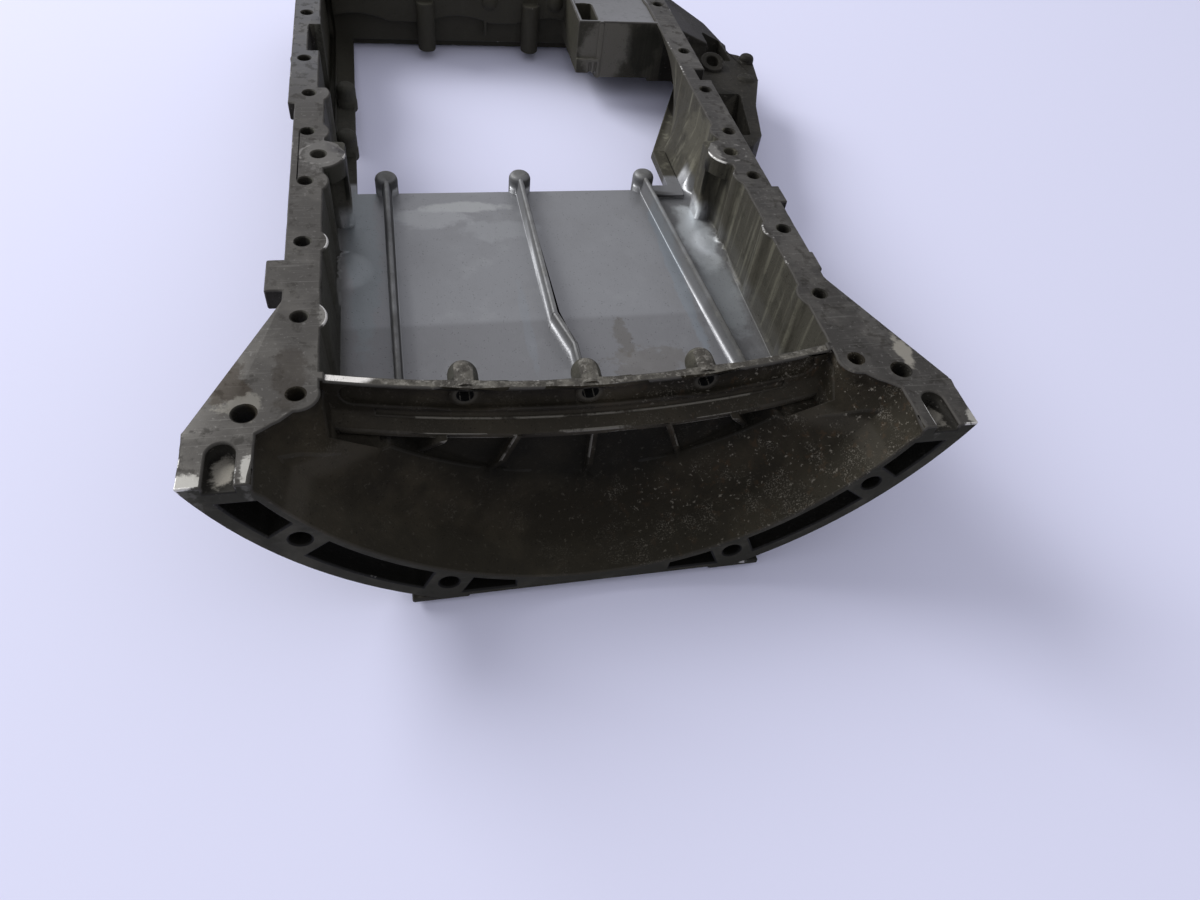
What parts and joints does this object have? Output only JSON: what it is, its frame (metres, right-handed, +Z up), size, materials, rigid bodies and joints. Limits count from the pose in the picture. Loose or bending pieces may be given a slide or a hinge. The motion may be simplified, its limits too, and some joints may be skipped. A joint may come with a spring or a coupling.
{
  "type": "engine oil pan",
  "caption": "Cast aluminium upper oil pan with crankcase flange, ribbed shallow bay, lower sump opening and half bell housing.",
  "frame": {"origin": "on the crankcase flange plane, midway between the two locating dowel holes", "axes": "+Z up out of the crankcase flange towards the crankshaft, +Y along the engine from the bell housing to the front, +X to the right seen from the bell"},
  "size_m": [0.3599, 0.48, 0.0995],
  "materials": {
    "cast_aluminium": "as cast aluminium, oil-stained and dull, with machined flange faces gone grey-brown"
  },
  "bodies": {
    "root": {"upper_oil_pan": "cast_aluminium"}
  },
  "joints": []
}
